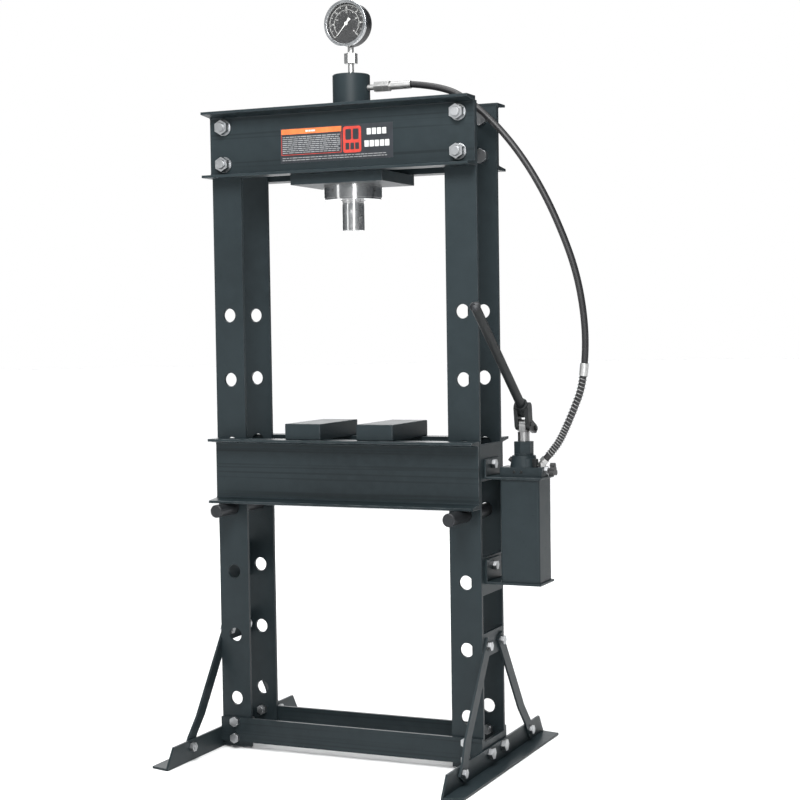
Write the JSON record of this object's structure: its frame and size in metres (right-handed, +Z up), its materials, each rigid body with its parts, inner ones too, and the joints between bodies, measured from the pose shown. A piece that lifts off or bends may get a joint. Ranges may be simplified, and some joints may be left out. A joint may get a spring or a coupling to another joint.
{
  "type": "hydraulic shop press",
  "caption": "Floor-standing H-frame hydraulic shop press with a hand pump on one post, a height-adjustable bed on cross pins, and a pressure gauge over the ram.",
  "frame": {"origin": "on the floor, at the centre of the outline of the whole press without its hose", "axes": "+Z up, -Y towards the operator at the front, +X towards the post that carries the pump; the ram axis stands at x = -51.5 mm, y = 0"},
  "size_m": [0.937, 0.636, 1.7275],
  "materials": {
    "frame_paint": "semi-gloss charcoal grey enamel",
    "cast_paint": "semi-gloss charcoal enamel on a casting",
    "black_enamel": "satin black enamel",
    "zinc_plate": "bright zinc plating",
    "fitting_steel": "satin plated steel",
    "turned_steel": "turned bare steel",
    "hard_chrome": "ground hard chrome",
    "bezel_steel": "polished steel",
    "black_plastic": "moulded black",
    "dial_face": "matt black dial",
    "pointer_white": "white paint",
    "gauge_glass": "clear window",
    "hose_rubber": "smooth black rubber",
    "guard_wire": "plated spring wire",
    "label_film": "printed film"
  },
  "bodies": {
    "frame": {"beam_bolts": "zinc_plate", "beam_nuts": "zinc_plate", "beam_washers": "zinc_plate", "braces_left": "frame_paint", "braces_right": "frame_paint", "cylinder_barrel": "frame_paint", "cylinder_gland": "turned_steel", "filler_plug": "black_plastic", "foot_bolts": "zinc_plate", "foot_left": "frame_paint", "foot_right": "frame_paint", "fulcrum": "frame_paint", "gauge_bezel": "bezel_steel", "gauge_case": "black_plastic", "gauge_dial": "dial_face", "gauge_glass": "gauge_glass", "gauge_stem": "fitting_steel", "guard_collar": "fitting_steel", "head_plate": "frame_paint", "head_plugs": "zinc_plate", "hose": "hose_rubber", "hose_fitting_top": "fitting_steel", "hose_guard": "guard_wire", "inner_nuts": "zinc_plate", "label_panels": "label_film", "left_back_bar": "frame_paint", "left_battens": "frame_paint", "left_front_bar": "frame_paint", "lock_ring": "turned_steel", "oil_tank": "frame_paint", "port_adapter": "fitting_steel", "pump_bracket_high": "frame_paint", "pump_bracket_low": "frame_paint", "pump_collar": "cast_paint", "pump_head": "frame_paint", "pump_outlet": "fitting_steel", "rail_back": "frame_paint", "rail_bolts": "zinc_plate", "rail_front": "frame_paint", "right_back_bar": "frame_paint", "right_battens": "frame_paint", "right_front_bar": "frame_paint", "side_bolts": "zinc_plate", "top_beam_back": "frame_paint", "top_beam_front": "frame_paint", "valve_gland": "zinc_plate"},
    "ram": {"ram": "hard_chrome"},
    "bed": {"bed_front": "frame_paint", "bed_back": "frame_paint", "bed_spacers": "frame_paint"},
    "block_left": {"press_block_left": "frame_paint"},
    "block_right": {"press_block_right": "frame_paint"},
    "bed_pin_left": {"bed_pin_left": "turned_steel"},
    "bed_pin_right": {"bed_pin_right": "turned_steel"},
    "pump_plunger": {"pump_plunger": "hard_chrome"},
    "pump_lever": {"pump_lever": "cast_paint"},
    "pump_handle": {"handle_tube": "black_enamel", "handle_plug": "zinc_plate"},
    "release_valve": {"valve_knob": "black_plastic"},
    "gauge_needle": {"gauge_pointer": "pointer_white"}
  },
  "joints": [
    {"name": "ram_stroke", "type": "slide", "parent": "frame", "child": "ram", "axis": [0, 0, -1], "range_m": [0, 0.15]},
    {"name": "bed_height", "type": "slide", "parent": "frame", "child": "bed", "axis": [0, 0, 1], "range_m": [0, 0.45]},
    {"name": "block_left_slide", "type": "slide", "parent": "bed", "child": "block_left", "axis": [1, 0, 0], "range_m": [-0.08, 0.01]},
    {"name": "block_right_slide", "type": "slide", "parent": "bed", "child": "block_right", "axis": [1, 0, 0], "range_m": [-0.01, 0.08]},
    {"name": "bed_pin_left_pull", "type": "slide", "parent": "frame", "child": "bed_pin_left", "axis": [0, -1, 0], "range_m": [0, 0.3]},
    {"name": "bed_pin_right_pull", "type": "slide", "parent": "frame", "child": "bed_pin_right", "axis": [0, -1, 0], "range_m": [0, 0.3]},
    {"name": "plunger_stroke", "type": "slide", "parent": "frame", "child": "pump_plunger", "axis": [0, 0, -1], "range_m": [0, 0.0219]},
    {"name": "lever_swing", "type": "hinge", "parent": "pump_plunger", "child": "pump_lever", "pos_m": [0.3565, 0, 0.766], "axis": [1, 0, 0], "range_deg": [0, 40]},
    {"name": "handle_pull", "type": "slide", "parent": "pump_lever", "child": "pump_handle", "axis": [0, -0.7815, 0.6239], "range_m": [0, 0.15]},
    {"name": "release_valve_turn", "type": "hinge", "parent": "frame", "child": "release_valve", "pos_m": [0.4195, -0.004, 0.665], "axis": [1, 0, 0], "range_deg": [0, 180]},
    {"name": "gauge_needle_turn", "type": "hinge", "parent": "frame", "child": "gauge_needle", "pos_m": [-0.0515, -0.024, 1.675], "axis": [0, 1, 0], "range_deg": [0, 260]}
  ],
  "couplings": [
    {"joint": "plunger_stroke", "follows": "lever_swing", "m_per_rad": 0.031354}
  ]
}
